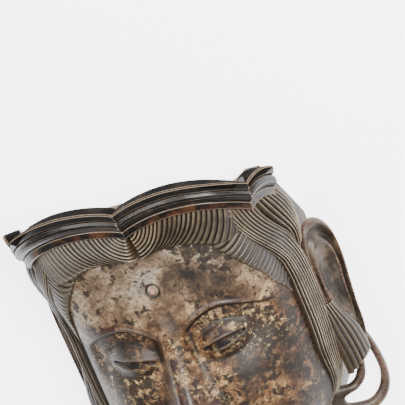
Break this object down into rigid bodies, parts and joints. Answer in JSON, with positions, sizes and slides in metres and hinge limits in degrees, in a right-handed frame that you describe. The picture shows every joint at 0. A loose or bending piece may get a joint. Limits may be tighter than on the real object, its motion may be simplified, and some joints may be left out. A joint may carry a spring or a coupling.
{
  "type": "carved procession mask",
  "caption": "Carved wooden bodhisattva face mask, hollow at the back, with combed hair, long pierced ears, a moulded crown band and pierced pupils, lying face up on its rim.",
  "frame": {"origin": "middle of the bounding box in X and Y, on the plane of the back rim", "axes": "+X the viewer's right, +Y from chin to crown, +Z out of the face towards the viewer; the mask lies face up on its rim"},
  "size_m": [0.204, 0.224, 0.1105],
  "materials": {
    "gilded_lacquer": "cypress under aged lacquer with worn gilding, satin",
    "lacquered_hair": "cypress under dark lacquer, ridges rubbed grey, satin",
    "lacquered_wood": "cypress under dark lacquer, satin",
    "crown_lacquer": "cypress under dark brown lacquer, half gloss",
    "urna_stub": "worn wood, matte",
    "bamboo": "split bamboo, matte",
    "forged_iron": "forged iron, dull and darkened"
  },
  "bodies": {
    "root": {"face_block": "gilded_lacquer", "urna_plug": "urna_stub", "crown_block_left": "lacquered_hair", "crown_block_right": "lacquered_hair", "side_block_left": "lacquered_wood", "side_block_right": "lacquered_wood", "side_roll_left": "lacquered_hair", "side_roll_right": "lacquered_hair", "temple_lock_left": "lacquered_hair", "temple_lock_right": "lacquered_hair", "ear_lock_left": "lacquered_hair", "ear_lock_right": "lacquered_hair", "ear_left": "gilded_lacquer", "ear_right": "gilded_lacquer", "crown_band_front_left": "crown_lacquer", "crown_band_front_right": "crown_lacquer", "crown_band_side_left": "crown_lacquer", "crown_band_side_right": "crown_lacquer", "band_pegs_left": "bamboo", "band_pegs_right": "bamboo", "lock_pegs_left": "bamboo", "lock_pegs_right": "bamboo", "ear_dowels_left": "bamboo", "ear_dowels_right": "bamboo", "joint_clamps_left": "forged_iron", "joint_clamps_right": "forged_iron"}
  },
  "joints": []
}
